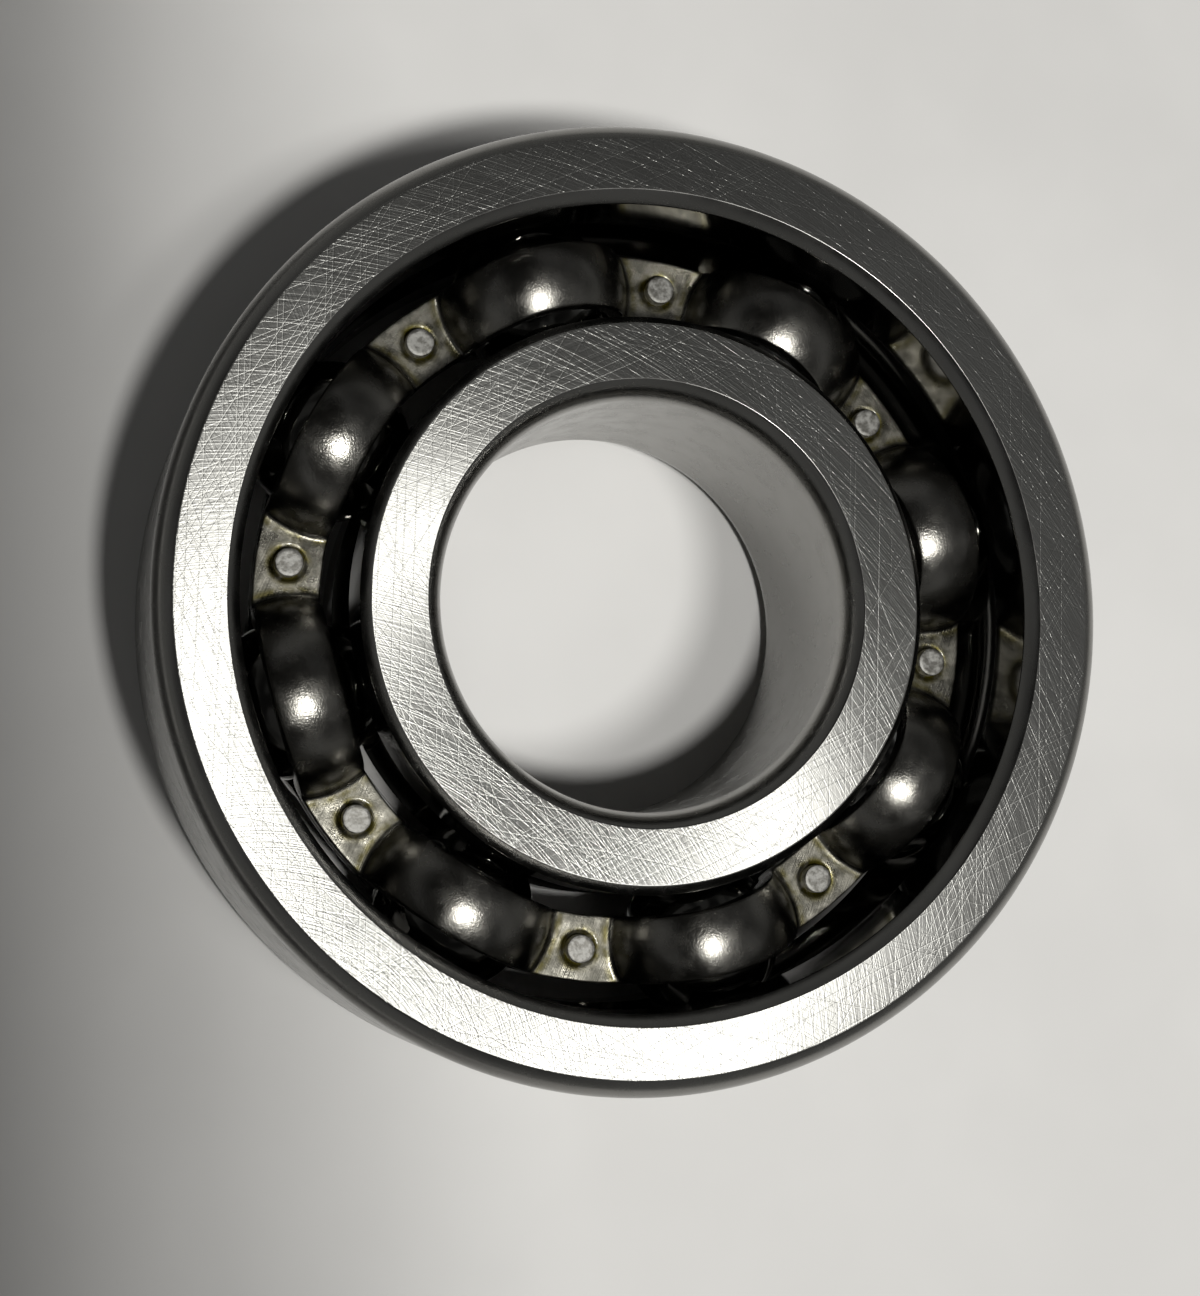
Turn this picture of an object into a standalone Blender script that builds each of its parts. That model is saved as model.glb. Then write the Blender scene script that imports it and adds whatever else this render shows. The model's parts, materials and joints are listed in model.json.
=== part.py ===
"""An open deep-groove ball bearing, 20 x 47 x 14 mm, lying flat with its axis upright along Z.

The origin is the centre of the bearing. Two steel rings hold eight balls in facing grooves, and a ribbon
cage of two pressed halves, joined by eight rivets, keeps the balls apart. Units are metres.
"""

import math

import bmesh
import bpy
from mathutils import Matrix, Vector

# Boundary dimensions
BORE_D = 0.0200
OUTSIDE_D = 0.0470
WIDTH = 0.0140

# Rolling set
BALL_COUNT = 8
BALL_D = 0.0079375
PITCH_D = 0.0335
GROOVE_R = 0.515 * BALL_D  # a groove is a little wider than the ball that runs in it
RUNNING_GAP = 0.0001  # between a ball and each groove

# Ring shoulders and corners, each corner as (radial, axial) size
INNER_SHOULDER_D = 0.0279
OUTER_SHOULDER_D = 0.0390
BORE_CORNER = (0.0008, 0.0016)
OUTSIDE_CORNER = (0.00093, 0.0014)
INNER_SHOULDER_CORNER = (0.00045, 0.0006)
OUTER_SHOULDER_CORNER = (0.0006, 0.0006)

# Cage
SHEET = 0.0008
CAGE_INNER_D = 0.0301
CAGE_OUTER_D = 0.0367
POCKET_GAP = 0.00015  # between a ball and its pocket
SEAM_GAP = 0.0001  # between the lands of the two halves
RIVET_SHANK_D = 0.0010
RIVET_HEAD_D = 0.0014
RIVET_HEAD_H = 0.0005
RIVET_HEAD_FLAT = 0.8  # share of the head's radius that is flat on top
RIVET_HEAD_EDGE = 0.3  # share of the head's height that its bevelled edge takes
RIVET_GAP = 0.00005  # between a rivet and the cage

# Fineness of the round surfaces
RING_STEPS = 64
CORNER_STEPS = 3
GROOVE_STEPS = 8
BALL_STEPS = 16
BALL_RINGS = 10
POCKET_STEPS = 10
CAGE_WIDTH_STEPS = 4
RIVET_STEPS = 12
SHARP_ANGLE = math.radians(35)  # an edge that turns more than this is shaded sharp
MERGE_DISTANCE = 1e-7

PITCH_R = PITCH_D / 2
BALL_R = BALL_D / 2
FACE_Z = WIDTH / 2
SPACING = 2 * math.pi / BALL_COUNT


def clear_scene():
    """Removes everything that is in the scene before the model is built."""
    for thing in list(bpy.data.objects):
        bpy.data.objects.remove(thing, do_unlink=True)


def steel(name, colour, roughness):
    """A bare metal material with one colour and one roughness."""
    material = bpy.data.materials.new(name)
    material.use_nodes = True
    shader = material.node_tree.nodes["Principled BSDF"]
    shader.inputs["Base Color"].default_value = (*colour, 1.0)
    shader.inputs["Metallic"].default_value = 1.0
    shader.inputs["Roughness"].default_value = roughness
    material.diffuse_color = (*colour, 1.0)
    return material


def add_object(name, mesh, material, parent=None):
    """Puts a mesh in the scene as one named, smooth-shaded object with a material."""
    thing = bpy.data.objects.new(name, mesh)
    bpy.context.scene.collection.objects.link(thing)
    if not mesh.materials:
        mesh.materials.append(material)
    mesh.shade_smooth()
    mesh.set_sharp_from_angle(angle=SHARP_ANGLE)
    thing.parent = parent
    return thing


def add_axis(name, location, parent=None):
    """An empty on the axis that a moving piece turns about."""
    axis = bpy.data.objects.new(name, None)
    axis.empty_display_size = BALL_R
    axis.location = location
    axis.parent = parent
    bpy.context.scene.collection.objects.link(axis)
    return axis


def corner(wall_r, radial, axial, outward):
    """Points of an upper corner, from the ground face to the wall it leaves tangentially.

    The corner is turned as a round and the face is then ground flat through it, so the arc meets the wall
    smoothly and the face at an edge. outward is 1 for a corner at the outside of a ring and -1 at its bore.
    """
    round_r = (radial**2 + axial**2) / (2 * radial)
    face_turn = math.asin(axial / round_r)
    centre_r = wall_r - outward * round_r
    points = []
    for step in range(CORNER_STEPS + 1):
        turn = face_turn * (1 - step / CORNER_STEPS)
        r = centre_r + outward * round_r * math.cos(turn)
        points.append((r, FACE_Z - axial + round_r * math.sin(turn)))
    return points


def mirrored(points):
    """The same outline below the middle of the bearing, in the opposite order."""
    return [(r, -z) for r, z in reversed(points)]


def groove(centre_r, shoulder_r, outward):
    """The raceway from its upper edge to its lower edge, as an arc about (centre_r, 0)."""
    edge_turn = math.acos(abs(shoulder_r - centre_r) / GROOVE_R)
    points = []
    for step in range(GROOVE_STEPS + 1):
        turn = edge_turn * (1 - 2 * step / GROOVE_STEPS)
        points.append((centre_r + outward * GROOVE_R * math.cos(turn), GROOVE_R * math.sin(turn)))
    return points


def outer_ring_outline():
    """Half section of the outer ring, down its outer side and up its raceway side."""
    shoulder_r = OUTER_SHOULDER_D / 2
    radial, axial = OUTER_SHOULDER_CORNER
    upper_outer = corner(OUTSIDE_D / 2, *OUTSIDE_CORNER, 1)
    upper_inner = [(shoulder_r, FACE_Z - axial), (shoulder_r + radial, FACE_Z)]
    race_bottom = PITCH_R + BALL_R + RUNNING_GAP
    raceway = groove(race_bottom - GROOVE_R, shoulder_r, 1)
    lower_half = mirrored(upper_outer) + mirrored(upper_inner)
    return upper_outer + lower_half + raceway[::-1] + upper_inner


def inner_ring_outline():
    """Half section of the inner ring, down its raceway side and up its bore."""
    shoulder_r = INNER_SHOULDER_D / 2
    radial, axial = INNER_SHOULDER_CORNER
    upper_outer = [(shoulder_r - radial, FACE_Z), (shoulder_r, FACE_Z - axial)]
    upper_inner = corner(BORE_D / 2, *BORE_CORNER, -1)[::-1]
    race_bottom = PITCH_R - BALL_R - RUNNING_GAP
    raceway = groove(race_bottom + GROOVE_R, shoulder_r, -1)
    return upper_outer + raceway + mirrored(upper_outer) + mirrored(upper_inner) + upper_inner


def turned_mesh(name, outline, steps):
    """An outline of (radius, height) points turned once round Z.

    An outline that starts and ends on the axis is left open there, and any other one is closed first.
    """
    mesh = bpy.data.meshes.new(name)
    shape = bmesh.new()
    corners = [shape.verts.new((r, 0.0, z)) for r, z in outline]
    line = [shape.edges.new(pair) for pair in zip(corners, corners[1:])]
    if outline[0][0] > 0.0:
        line.append(shape.edges.new((corners[-1], corners[0])))
    bmesh.ops.spin(
        shape,
        geom=corners + line,
        cent=(0.0, 0.0, 0.0),
        axis=(0.0, 0.0, 1.0),
        angle=2 * math.pi,
        steps=steps,
        use_merge=True,
    )
    bmesh.ops.remove_doubles(shape, verts=shape.verts, dist=MERGE_DISTANCE)
    bmesh.ops.recalc_face_normals(shape, faces=shape.faces)
    shape.to_mesh(mesh)
    shape.free()
    return mesh


def ball_mesh():
    """A ball whose poles stand on the axis that it turns about."""
    mesh = bpy.data.meshes.new("ball")
    shape = bmesh.new()
    bmesh.ops.create_uvsphere(shape, u_segments=BALL_STEPS, v_segments=BALL_RINGS, radius=BALL_R)
    shape.to_mesh(mesh)
    shape.free()
    return mesh


def rivet_outline():
    """Section of a rivet along Z, clenched to a flat head at both ends, from its top to its foot."""
    head_r = RIVET_HEAD_D / 2
    head_z = SEAM_GAP / 2 + SHEET + RIVET_GAP
    top_z = head_z + RIVET_HEAD_H
    top = [(0.0, top_z), (RIVET_HEAD_FLAT * head_r, top_z), (head_r, top_z - RIVET_HEAD_EDGE * RIVET_HEAD_H)]
    upper_half = top + [(head_r, head_z), (RIVET_SHANK_D / 2, head_z)]
    return upper_half + mirrored(upper_half)


def pocket_point(radius, sphere_r, land_z, share):
    """The point at a share (-1 to 1) of the way over a pocket, at one distance from the bearing's axis.

    The pocket is a sphere about the ball's centre, so on a cylinder of the given radius it is an arch that
    leaves the land at land_z on one side of the ball and comes back to it on the other.
    """
    crown_z = math.sqrt(sphere_r**2 - (radius - PITCH_R) ** 2)
    foot = math.asin(land_z / crown_z)
    turn = foot + (0.5 * math.pi - foot) * (1 - abs(share))
    z = crown_z * math.sin(turn)
    reach_squared = max(sphere_r**2 - z**2, (radius - PITCH_R) ** 2)
    cos_angle = (radius**2 + PITCH_R**2 - reach_squared) / (2 * radius * PITCH_R)
    angle = math.copysign(math.acos(min(1.0, cos_angle)), share)
    return angle, z


def cage_section(share):
    """One closed section across the ribbon at a share of the way over a pocket, as (angle, radius, z)."""
    inner_r = CAGE_INNER_D / 2
    step_r = (CAGE_OUTER_D / 2 - inner_r) / CAGE_WIDTH_STEPS
    radii = [inner_r + step_r * k for k in range(CAGE_WIDTH_STEPS + 1)]
    under_r = BALL_R + POCKET_GAP
    under_z = SEAM_GAP / 2
    upper_side = (under_r + SHEET, under_z + SHEET, radii)
    under_side = (under_r, under_z, radii[::-1])
    section = []
    for sphere_r, land_z, order in (upper_side, under_side):
        for radius in order:
            angle, z = pocket_point(radius, sphere_r, land_z, share)
            section.append((angle, radius, z))
    return section


def cage_half_mesh(name, side):
    """One pressed half of the cage: eight pockets that arch over the balls, and flat lands between them."""
    shares = [2 * step / POCKET_STEPS - 1 for step in range(POCKET_STEPS + 1)]
    mesh = bpy.data.meshes.new(name)
    shape = bmesh.new()
    loops = []
    for ball in range(BALL_COUNT):
        for share in shares:
            loop = []
            for angle, radius, z in cage_section(share):
                place = Matrix.Rotation(ball * SPACING + angle, 3, "Z") @ Vector((radius, 0.0, side * z))
                loop.append(shape.verts.new(place))
            loops.append(loop)
    for here, there in zip(loops, loops[1:] + loops[:1]):
        for k in range(len(here)):
            after = (k + 1) % len(here)
            shape.faces.new((here[k], here[after], there[after], there[k]))
    bmesh.ops.recalc_face_normals(shape, faces=shape.faces)
    shape.to_mesh(mesh)
    shape.free()
    return mesh


def rivet_hole_cutter():
    """Eight hidden pins, a little thicker than the rivets, that pierce the lands of the cage."""
    mesh = bpy.data.meshes.new("rivet_hole_cutter")
    shape = bmesh.new()
    for hole in range(BALL_COUNT):
        place = Matrix.Rotation((hole + 0.5) * SPACING, 4, "Z") @ Matrix.Translation((PITCH_R, 0.0, 0.0))
        bmesh.ops.create_cone(
            shape,
            cap_ends=True,
            segments=RIVET_STEPS,
            radius1=RIVET_SHANK_D / 2 + RIVET_GAP,
            radius2=RIVET_SHANK_D / 2 + RIVET_GAP,
            depth=4 * SHEET,
            matrix=place,
        )
    shape.to_mesh(mesh)
    shape.free()
    cutter = bpy.data.objects.new("rivet_hole_cutter", mesh)
    cutter.hide_render = True
    cutter.display_type = "WIRE"
    bpy.context.scene.collection.objects.link(cutter)
    return cutter


def pierce(thing, cutter):
    """Cuts the rivet holes through a cage half."""
    cut = thing.modifiers.new("rivet_holes", "BOOLEAN")
    cut.object = cutter
    cut.operation = "DIFFERENCE"
    cut.solver = "EXACT"


def build():
    """Builds the bearing: the outer ring stands still, and the rest turns about it."""
    clear_scene()
    ground_steel = steel("ground_ring_steel", (0.42, 0.42, 0.40), 0.30)
    ball_steel = steel("polished_ball_steel", (0.60, 0.60, 0.60), 0.06)
    cage_steel = steel("pressed_cage_steel", (0.33, 0.33, 0.30), 0.38)
    rivet_steel = steel("clenched_rivet_steel", (0.50, 0.50, 0.48), 0.42)

    bearing_axis = (0.0, 0.0, 0.0)
    add_object("outer_ring", turned_mesh("outer_ring", outer_ring_outline(), RING_STEPS), ground_steel)
    inner_axis = add_axis("inner_axis", bearing_axis)
    inner_mesh = turned_mesh("inner_ring", inner_ring_outline(), RING_STEPS)
    add_object("inner_ring", inner_mesh, ground_steel, inner_axis)

    cage_axis = add_axis("cage_axis", bearing_axis)
    cutter = rivet_hole_cutter()
    for name, side in (("cage_front", 1), ("cage_back", -1)):
        half = add_object(name, cage_half_mesh(name, side), cage_steel, cage_axis)
        pierce(half, cutter)

    shared_ball = ball_mesh()
    shared_rivet = turned_mesh("rivet", rivet_outline(), RIVET_STEPS)
    for number in range(BALL_COUNT):
        ball_place = Matrix.Rotation(number * SPACING, 3, "Z") @ Vector((PITCH_R, 0.0, 0.0))
        ball_axis = add_axis(f"ball_axis_{number + 1}", ball_place, cage_axis)
        add_object(f"ball_{number + 1}", shared_ball, ball_steel, ball_axis)

        rivet = add_object(f"rivet_{number + 1}", shared_rivet, rivet_steel, cage_axis)
        rivet.rotation_euler = (0.0, 0.0, (number + 0.5) * SPACING)
        rivet.location = Matrix.Rotation((number + 0.5) * SPACING, 3, "Z") @ Vector((PITCH_R, 0.0, 0.0))


build()
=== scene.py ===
"""A deep groove ball bearing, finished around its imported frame.

The frame says where each of the twenty parts is. Every part is made again here as a fine surface: two
turned and ground rings, a ribbon cage of two pressed halves, eight clenched rivets and eight lapped balls.
Sizes are in millimetres until a mesh is made, and meshes are in metres. Heights are from the middle of the
bearing, whose axis is Z.
"""

from __future__ import annotations

import json
import logging
import math
from dataclasses import dataclass, field
from enum import IntEnum
from typing import Optional, Union

import bmesh
import bpy
import numpy as np
from mathutils import Matrix, Vector

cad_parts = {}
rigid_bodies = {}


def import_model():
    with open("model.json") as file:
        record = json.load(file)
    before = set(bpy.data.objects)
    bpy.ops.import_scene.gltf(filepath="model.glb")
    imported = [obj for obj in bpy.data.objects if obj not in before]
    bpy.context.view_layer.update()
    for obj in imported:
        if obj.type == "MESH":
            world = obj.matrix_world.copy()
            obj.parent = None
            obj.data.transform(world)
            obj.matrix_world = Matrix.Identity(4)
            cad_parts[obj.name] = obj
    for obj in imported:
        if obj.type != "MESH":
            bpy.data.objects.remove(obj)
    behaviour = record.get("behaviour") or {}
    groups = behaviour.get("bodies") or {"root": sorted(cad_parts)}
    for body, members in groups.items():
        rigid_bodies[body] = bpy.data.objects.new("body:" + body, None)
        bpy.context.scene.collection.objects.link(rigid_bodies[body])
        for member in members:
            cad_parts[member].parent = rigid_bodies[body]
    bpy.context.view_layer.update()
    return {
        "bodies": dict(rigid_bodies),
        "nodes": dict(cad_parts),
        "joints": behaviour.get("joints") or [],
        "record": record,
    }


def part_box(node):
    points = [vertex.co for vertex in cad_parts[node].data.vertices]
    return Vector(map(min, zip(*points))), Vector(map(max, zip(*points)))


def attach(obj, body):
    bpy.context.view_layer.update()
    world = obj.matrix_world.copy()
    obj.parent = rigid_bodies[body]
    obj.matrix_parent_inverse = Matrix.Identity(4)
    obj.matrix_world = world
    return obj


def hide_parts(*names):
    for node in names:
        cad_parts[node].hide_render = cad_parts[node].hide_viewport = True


LOG = logging.getLogger("bearing")
MM = 0.001
FULL_TURN = 2 * math.pi
MERGE = 0.0005  # mm, closer points are one

SocketValue = Union[float, tuple, bpy.types.NodeSocket]
Colour = Union[str, bpy.types.NodeSocket]


class Zone(IntEnum):
    """The finishes of a ring, in the order of its material slots."""

    FACE = 0
    CORNER = 1
    WALL = 2
    RACEWAY = 3


class Side(IntEnum):
    """The two halves of the cage, by the way each looks along Z."""

    FRONT = 1
    BACK = -1


# ---------------------------------------------------------------------------------------------- finishes


def linear_colour(code: str) -> tuple[float, float, float, float]:
    """Turns an sRGB hex colour into linear light.

    Args:
        code: Six hex digits after a hash.

    Returns:
        Red, green, blue and an alpha of one.
    """
    share = np.array([int(code[k : k + 2], 16) for k in (1, 3, 5)]) / 255
    light = np.where(share <= 0.04045, share / 12.92, ((share + 0.055) / 1.055) ** 2.4)
    return (*(float(part) for part in light), 1.0)


def add_node(
    tree: bpy.types.NodeTree,
    kind: str,
    inputs: dict[Union[int, str], SocketValue] | None = None,
    **settings: object,
) -> bpy.types.Node:
    """Adds one node with its settings, its values and its links.

    Args:
        tree: The material's node tree.
        kind: Blender's name for the kind of node.
        inputs: A value or another node's output socket for each named or numbered input.
        settings: The node's own properties.

    Returns:
        The new node.
    """
    node = tree.nodes.new(kind)
    for name, value in settings.items():
        setattr(node, name, value)
    for name, value in (inputs or {}).items():
        if isinstance(value, bpy.types.NodeSocket):
            tree.links.new(value, node.inputs[name])
        else:
            node.inputs[name].default_value = value
    return node


def smooth_range(
    tree: bpy.types.NodeTree, value: SocketValue, source: tuple[float, float], target: tuple[float, float]
) -> bpy.types.NodeSocket:
    """A value carried from one range to another with smooth, clamped ends.

    Args:
        tree: The node tree.
        value: The value.
        source: What counts as the low and the high end.
        target: What they become.

    Returns:
        The socket of the carried value.
    """
    limits = dict(zip(("From Min", "From Max", "To Min", "To Max"), (*source, *target)))
    made = add_node(tree, "ShaderNodeMapRange", {"Value": value, **limits}, interpolation_type="SMOOTHSTEP")
    return made.outputs["Result"]


def mixed_colour(
    tree: bpy.types.NodeTree, share: SocketValue, low: Colour, high: Colour
) -> bpy.types.NodeSocket:
    """A colour between two others.

    Args:
        tree: The node tree.
        share: 0 for the low colour, 1 for the high one.
        low: A hex colour, or the socket of another pattern.
        high: The same.

    Returns:
        The socket of the mixed colour.
    """
    ends = [linear_colour(end) if isinstance(end, str) else end for end in (low, high)]
    made = add_node(tree, "ShaderNodeMix", {0: share, 6: ends[0], 7: ends[1]}, data_type="RGBA")
    return made.outputs[2]


@dataclass
class SurfacePaint:
    """A material whose Principled shader starts as an even bare metal and is fed by patterns."""

    name: str
    roughness: float
    colour: str
    tree: bpy.types.NodeTree = field(init=False)
    material: bpy.types.Material = field(init=False)
    shader: bpy.types.Node = field(init=False)
    place: bpy.types.NodeSocket = field(init=False)

    def __post_init__(self) -> None:
        """Makes the material with an even metal on its shader."""
        self.material = bpy.data.materials.new(self.name)
        self.material.use_nodes = True
        self.tree = self.material.node_tree
        self.shader = self.tree.nodes["Principled BSDF"]
        self.shader.inputs["Metallic"].default_value = 1.0
        self.shader.inputs["Roughness"].default_value = self.roughness
        self.shader.inputs["Base Color"].default_value = linear_colour(self.colour)
        self.material.diffuse_color = linear_colour(self.colour)
        self.place = add_node(self.tree, "ShaderNodeTexCoord").outputs["Object"]

    def turned(self, angle: float, along: float, across: float, seed: float) -> bpy.types.NodeSocket:
        """Coordinates that run along one direction of the face, one unit to a feature.

        Args:
            angle: The direction of the lines, in radians from X.
            along: The length of a feature in millimetres.
            across: The width of a feature in millimetres.
            seed: A shift in metres that sets one layer apart from the next.

        Returns:
            The socket of the mapped coordinates.
        """
        mapping = add_node(
            self.tree,
            "ShaderNodeMapping",
            {
                "Vector": self.place,
                "Location": (seed, -seed, 0.0),
                "Rotation": (0.0, 0.0, angle),
                "Scale": (along * MM, across * MM, 1.0),
            },
            vector_type="TEXTURE",
        )
        return mapping.outputs["Vector"]

    def noise(self, vector: bpy.types.NodeSocket, detail: float, flat: bool = True) -> bpy.types.NodeSocket:
        """Noise of one unit to a feature.

        Args:
            vector: Where the noise is read.
            detail: How many finer layers lie on the coarse one.
            flat: Whether it is read on a plane, and not in space.

        Returns:
            The socket of the noise, from 0 to 1.
        """
        made = add_node(
            self.tree,
            "ShaderNodeTexNoise",
            {"Vector": vector, "Scale": 1.0, "Detail": detail, "Roughness": 0.55},
            noise_dimensions="2D" if flat else "3D",
        )
        return made.outputs["Fac"]

    def grain(self, size: float, detail: float) -> bpy.types.NodeSocket:
        """Noise in space.

        Args:
            size: The size of a feature in millimetres.
            detail: How many finer layers lie on the coarse one.

        Returns:
            The socket of the noise, from 0 to 1.
        """
        mapping = add_node(
            self.tree,
            "ShaderNodeMapping",
            {"Vector": self.place, "Scale": (size * MM, size * MM, size * MM)},
            vector_type="TEXTURE",
        )
        return self.noise(mapping.outputs["Vector"], detail, flat=False)

    def ramp(
        self, value: SocketValue, low: float, high: float, to_low: float, to_high: float
    ) -> bpy.types.NodeSocket:
        """A value carried from low and high to two others, with smooth ends."""
        return smooth_range(self.tree, value, (low, high), (to_low, to_high))

    def sums(self, operation: str, first: SocketValue, second: SocketValue) -> bpy.types.NodeSocket:
        """One step of arithmetic on two values."""
        return add_node(self.tree, "ShaderNodeMath", {0: first, 1: second}, operation=operation).outputs[0]

    def mixed(self, share: SocketValue, low: Colour, high: Colour) -> bpy.types.NodeSocket:
        """A colour between two others, low where the share is 0 and high where it is 1."""
        return mixed_colour(self.tree, share, low, high)

    def relief(
        self, height: bpy.types.NodeSocket, depth: float, under: Optional[bpy.types.NodeSocket] = None
    ) -> bpy.types.NodeSocket:
        """Surface relief from a height of 0 to 1.

        Args:
            height: The height as a share of the depth.
            depth: What a height of 1 stands for, in millimetres.
            under: A coarser relief that this one lies on.

        Returns:
            The socket of the bent normal.
        """
        inputs: dict[Union[int, str], SocketValue] = {"Height": height, "Distance": depth * MM}
        inputs["Strength"] = 1.0
        if under is not None:
            inputs["Normal"] = under
        return add_node(self.tree, "ShaderNodeBump", inputs).outputs["Normal"]

    def round_the_axis(self) -> bpy.types.NodeSocket:
        """The direction that runs round the bearing's axis, which is the cross product of Z and the place.

        Returns:
            The socket of that direction, in the scene's own directions, as a tangent has to be.
        """
        across = add_node(
            self.tree, "ShaderNodeVectorMath", {0: (0.0, 0.0, 1.0), 1: self.place}, operation="CROSS_PRODUCT"
        )
        turned = add_node(
            self.tree,
            "ShaderNodeVectorTransform",
            {"Vector": across.outputs["Vector"]},
            vector_type="VECTOR",
            convert_from="OBJECT",
            convert_to="WORLD",
        )
        return turned.outputs["Vector"]

    def finish(self, **sockets: bpy.types.NodeSocket) -> bpy.types.Material:
        """Links each named pattern to the shader's input of that name, with _ for a space.

        Args:
            sockets: The patterns by input name.

        Returns:
            The finished material.
        """
        for name, socket in sockets.items():
            self.tree.links.new(socket, self.shader.inputs[name.replace("_", " ")])
        return self.material


@dataclass(frozen=True)
class Sweep:
    """A place beside the ring that grinding arcs run round, and how deep they are next to other sweeps."""

    centre: tuple[float, float]
    share: float


@dataclass(frozen=True)
class GroundFaceSteel:
    """Hardened bearing steel, ground flat in arcs that cross the ring, and scratched in handling.

    The metal scatters light widely round the ring and little across it. The eye sees a wide white arc near
    the light, dark steel away from it, fine near-parallel lines, and a few long bright scratches.
    """

    name: str = "ground_ring_steel"
    colour: str = "#C3C2BE"
    roughness: float = 0.39
    roughness_change: float = 0.02
    spread: float = 0.85
    sweeps: tuple[Sweep, ...] = (
        Sweep((-24.0, -18.0), 1.5),
        Sweep((-35.0, -6.0), 0.32),
        Sweep((-12.0, -33.0), 0.30),
        Sweep((46.0, 30.0), 0.26),
    )
    sweep_width: float = 0.09  # mm, several real grinding lines drawn as one so that they show
    sweep_length: float = 11.0
    sweep_radius: float = 30.0  # mm, the distance from a centre at which a line has that length
    sweep_depth: float = 0.0018
    scratch_count: int = 7
    scratch_width: float = 0.13  # mm, wider than a real scratch so that it shows
    scratch_length: float = 60.0
    scratch_depth: float = 0.0019
    scratch_shift: float = 0.0277  # m, which sets each direction's scratches apart from the next
    worn_patch: float = 2.4

    def arcs(self, paint: SurfacePaint, centre: tuple[float, float]) -> bpy.types.NodeSocket:
        """Fine arcs about a place beside the ring: noise over (turn about it, distance from it).

        Args:
            paint: The material.
            centre: The place, in millimetres.

        Returns:
            Noise that is long round the place and narrow away from it, cut to lines.
        """
        tree = paint.tree
        place = (centre[0] * MM, centre[1] * MM, 0.0)
        beside = add_node(tree, "ShaderNodeVectorMath", {0: paint.place, 1: place}, operation="SUBTRACT")
        flat = add_node(
            tree,
            "ShaderNodeVectorMath",
            {0: beside.outputs["Vector"], 1: (1.0, 1.0, 0.0)},
            operation="MULTIPLY",
        )
        away = add_node(tree, "ShaderNodeVectorMath", {0: flat.outputs["Vector"]}, operation="LENGTH")
        split = add_node(tree, "ShaderNodeSeparateXYZ", {"Vector": flat.outputs["Vector"]})
        turn = paint.sums("ARCTAN2", split.outputs["Y"], split.outputs["X"])
        section = add_node(
            tree,
            "ShaderNodeCombineXYZ",
            {
                "X": paint.sums("MULTIPLY", turn, self.sweep_radius / self.sweep_length),
                "Y": paint.sums("DIVIDE", away.outputs["Value"], self.sweep_width * MM),
            },
        )
        return paint.ramp(paint.noise(section.outputs["Vector"], 0.0), 0.50, 0.68, 0.0, 1.0)

    def scratches(self, paint: SurfacePaint, number: int) -> bpy.types.NodeSocket:
        """Straight scratches in one of several directions, spread over half a turn and a little uneven.

        Args:
            paint: The material.
            number: Which of the directions.

        Returns:
            The sparse ridges of a noise that is long one way.
        """
        angle = math.pi * (number + 0.4) / self.scratch_count + 0.2 * math.sin(7.0 * number)
        shift = self.scratch_shift * (number + 1)
        vector = paint.turned(angle, self.scratch_length, self.scratch_width, shift)
        return paint.ramp(paint.noise(vector, 0.0), 0.67, 0.76, 0.0, 1.0)

    def material(self) -> bpy.types.Material:
        """Grinding arcs over scratches, and a slight change of tone and gloss from place to place.

        Returns:
            The material.
        """
        paint = SurfacePaint(self.name, self.roughness, self.colour)
        lay: SocketValue = 0.0
        for sweep in self.sweeps:
            lay = paint.sums("ADD", lay, paint.sums("MULTIPLY", self.arcs(paint, sweep.centre), sweep.share))
        marks: SocketValue = 0.0
        for number in range(self.scratch_count):
            marks = paint.sums("ADD", marks, self.scratches(paint, number))
        cut = paint.relief(paint.sums("MULTIPLY", marks, -1.0), self.scratch_depth)
        tone = paint.grain(self.worn_patch, 3.0)
        dull, glossy = self.roughness + self.roughness_change, self.roughness - self.roughness_change
        paint.shader.inputs["Anisotropic"].default_value = self.spread
        return paint.finish(
            Base_Color=paint.mixed(tone, "#BFBEB9", "#C8C8C4"),
            Roughness=paint.ramp(tone, 0.3, 0.7, glossy, dull),
            Normal=paint.relief(lay, self.sweep_depth, under=cut),
            Tangent=paint.round_the_axis(),
        )


@dataclass(frozen=True)
class TurnedSteel:
    """Hardened bearing steel left by the lathe, the grinder or the hone, in lines that run round the axis.

    The finer the lines, the smoother and darker it looks, because it mirrors what stands round it.
    """

    name: str
    colour: str
    roughness: float
    line_width: float  # mm, coarser than a real turning or honing line so that it shows
    line_depth: float
    gloss_patch: float = 1.3

    def material(self) -> bpy.types.Material:
        """Fine lines that follow the turning, which are noise over (distance from the axis, height).

        Returns:
            The material.
        """
        paint = SurfacePaint(self.name, self.roughness, self.colour)
        tree = paint.tree
        split = add_node(tree, "ShaderNodeSeparateXYZ", {"Vector": paint.place})
        flat = add_node(tree, "ShaderNodeCombineXYZ", {"X": split.outputs["X"], "Y": split.outputs["Y"]})
        distance = add_node(tree, "ShaderNodeVectorMath", {0: flat.outputs["Vector"]}, operation="LENGTH")
        place = {"X": distance.outputs["Value"], "Y": split.outputs["Z"]}
        section = add_node(tree, "ShaderNodeCombineXYZ", place)
        scaled = add_node(
            tree,
            "ShaderNodeMapping",
            {"Vector": section.outputs["Vector"], "Scale": (self.line_width * MM,) * 3},
            vector_type="TEXTURE",
        )
        lines = paint.noise(scaled.outputs["Vector"], 1.0)
        tone = paint.grain(self.gloss_patch, 3.0)
        return paint.finish(
            Roughness=paint.ramp(tone, 0.3, 0.7, 0.85 * self.roughness, 1.2 * self.roughness),
            Normal=paint.relief(lines, self.line_depth),
        )


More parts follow.
